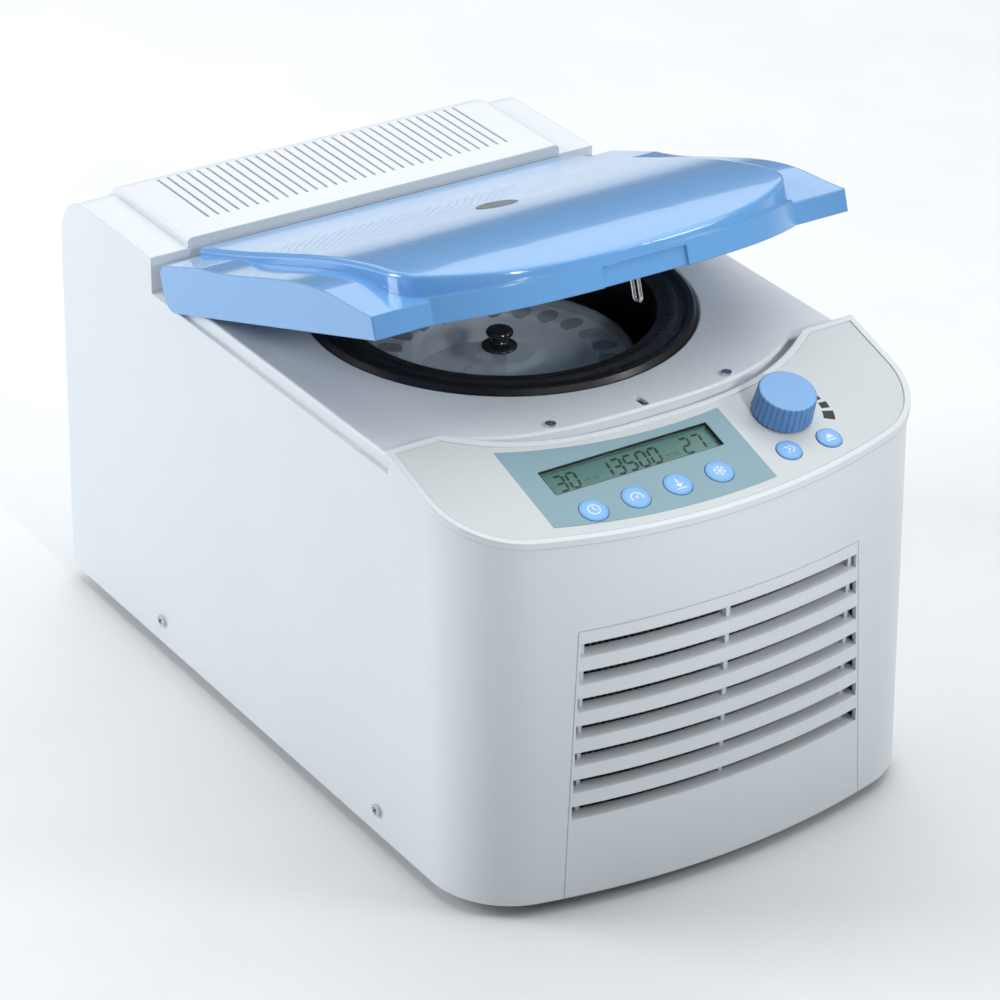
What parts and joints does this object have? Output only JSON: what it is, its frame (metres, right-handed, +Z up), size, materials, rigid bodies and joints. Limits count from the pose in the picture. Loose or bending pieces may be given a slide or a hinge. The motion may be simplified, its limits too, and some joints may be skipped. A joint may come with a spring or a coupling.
{
  "type": "laboratory centrifuge",
  "caption": "Bench-top refrigerated centrifuge for small sample tubes, with a hinged lid over the rotor chamber, a sloping control panel and a slotted front grille.",
  "frame": {"origin": "centre of the footprint at the underside of the rubber feet", "axes": "+Z up, -Y towards the front with the control panel, +X to the right seen from the front"},
  "size_m": [0.294, 0.4504, 0.3238],
  "materials": {
    "casing_white": "satin",
    "membrane_grey": "satin",
    "label_teal": "satin",
    "lcd_green": "semi-gloss",
    "clear_plastic": "polished",
    "smoked_plastic": "polished",
    "window_clear": "polished",
    "button_blue": "satin",
    "dial_blue": "satin",
    "lid_blue": "glossy",
    "liner_grey": "matt",
    "black_rubber": "matt",
    "black_plastic": "satin",
    "black_enamel": "semi-gloss",
    "white_enamel": "satin",
    "zinc_steel": "satin",
    "bright_steel": "bright",
    "cast_alloy": "satin",
    "rotor_alloy": "anodised",
    "copper_tube": "dull",
    "foam": "matt",
    "motor_grey": "satin",
    "board_green": "satin",
    "knob_black": "glossy"
  },
  "bodies": {
    "housing": {"main_casing": "casing_white", "front_grille": "casing_white", "vent_cover": "casing_white", "deck": "casing_white", "control_panel": "casing_white", "panel_membrane": "membrane_grey", "display_label": "label_teal", "lcd_module": "lcd_green", "display_window": "window_clear", "rubber_feet": "black_rubber", "rim_gasket": "black_rubber", "rubber_isolators": "black_rubber", "inlet_socket": "black_plastic", "switch_frame": "black_plastic", "fan_shroud": "black_plastic", "dial_encoder": "black_plastic", "chamber_bowl": "black_enamel", "compressor": "black_enamel", "rear_panel": "white_enamel", "base_plate": "zinc_steel", "motor_plate": "zinc_steel", "condenser_frame": "zinc_steel", "power_supply": "zinc_steel", "latch_body": "zinc_steel", "hinge_brackets": "zinc_steel", "side_screws": "bright_steel", "rear_screws": "bright_steel", "deck_screws": "bright_steel", "hinge_pins": "bright_steel", "condenser_fins": "cast_alloy", "evaporator_coil": "copper_tube", "discharge_pipe": "copper_tube", "suction_pipe": "copper_tube", "chamber_insulation": "foam", "drive_motor": "motor_grey", "fan_motor": "motor_grey", "latch_solenoid": "motor_grey", "main_board": "board_green", "display_board": "board_green"},
    "lid": {"lid_shell": "lid_blue", "lid_liner": "liner_grey", "viewing_port": "smoked_plastic", "lid_striker": "bright_steel", "hinge_arms": "cast_alloy", "lid_screws": "bright_steel"},
    "spindle": {"rotor_shaft": "bright_steel", "rotor": "rotor_alloy", "rotor_lid": "clear_plastic", "rotor_knob": "knob_black"},
    "fan": {"condenser_fan": "black_plastic"},
    "dial_plunger": {"dial_shaft": "bright_steel"},
    "dial_cap": {"control_dial": "dial_blue"},
    "rocker": {"power_rocker": "black_plastic"},
    "latch": {"latch_bolt": "bright_steel"},
    "button_time_cap": {"button_time": "button_blue"},
    "button_speed_cap": {"button_speed": "button_blue"},
    "button_force_cap": {"button_force": "button_blue"},
    "button_temperature_cap": {"button_temperature": "button_blue"},
    "button_quick_cap": {"button_quick": "button_blue"},
    "button_lid_cap": {"button_lid": "button_blue"}
  },
  "joints": [
    {"name": "lid_hinge", "type": "hinge", "parent": "housing", "child": "lid", "pos_m": [0, 0.0938, 0.238], "axis": [-1, 0, 0], "range_deg": [-19.1, 50]},
    {"name": "rotor_spin", "type": "hinge", "parent": "housing", "child": "spindle", "pos_m": [0, -0.0032, 0.203], "axis": [0, 0, 1], "continuous": true},
    {"name": "fan_spin", "type": "hinge", "parent": "housing", "child": "fan", "pos_m": [0, -0.1747, 0.086], "axis": [0, 1, 0], "continuous": true},
    {"name": "dial_press", "type": "slide", "parent": "housing", "child": "dial_plunger", "axis": [0, 0.2873, -0.9578], "range_m": [0, 0.0008], "stiffness_N_per_m": 2500},
    {"name": "dial_turn", "type": "hinge", "parent": "dial_plunger", "child": "dial_cap", "pos_m": [0.0644, -0.16966, 0.2269], "axis": [0, -0.2873, 0.9578], "continuous": true},
    {"name": "power_rock", "type": "hinge", "parent": "housing", "child": "rocker", "pos_m": [-0.096, 0.2192, 0.104], "axis": [1, 0, 0], "range_deg": [-18, 0]},
    {"name": "latch_slide", "type": "slide", "parent": "housing", "child": "latch", "axis": [-1, 0, 0], "range_m": [0, 0.006]},
    {"name": "button_time_press", "type": "slide", "parent": "housing", "child": "button_time_cap", "axis": [0, 0.2873, -0.9578], "range_m": [0, 0.0008], "stiffness_N_per_m": 2500},
    {"name": "button_speed_press", "type": "slide", "parent": "housing", "child": "button_speed_cap", "axis": [0, 0.2873, -0.9578], "range_m": [0, 0.0008], "stiffness_N_per_m": 2500},
    {"name": "button_force_press", "type": "slide", "parent": "housing", "child": "button_force_cap", "axis": [0, 0.2873, -0.9578], "range_m": [0, 0.0008], "stiffness_N_per_m": 2500},
    {"name": "button_temperature_press", "type": "slide", "parent": "housing", "child": "button_temperature_cap", "axis": [0, 0.2873, -0.9578], "range_m": [0, 0.0008], "stiffness_N_per_m": 2500},
    {"name": "button_quick_press", "type": "slide", "parent": "housing", "child": "button_quick_cap", "axis": [0, 0.2873, -0.9578], "range_m": [0, 0.0008], "stiffness_N_per_m": 2500},
    {"name": "button_lid_press", "type": "slide", "parent": "housing", "child": "button_lid_cap", "axis": [0, 0.2873, -0.9578], "range_m": [0, 0.0008], "stiffness_N_per_m": 2500}
  ]
}
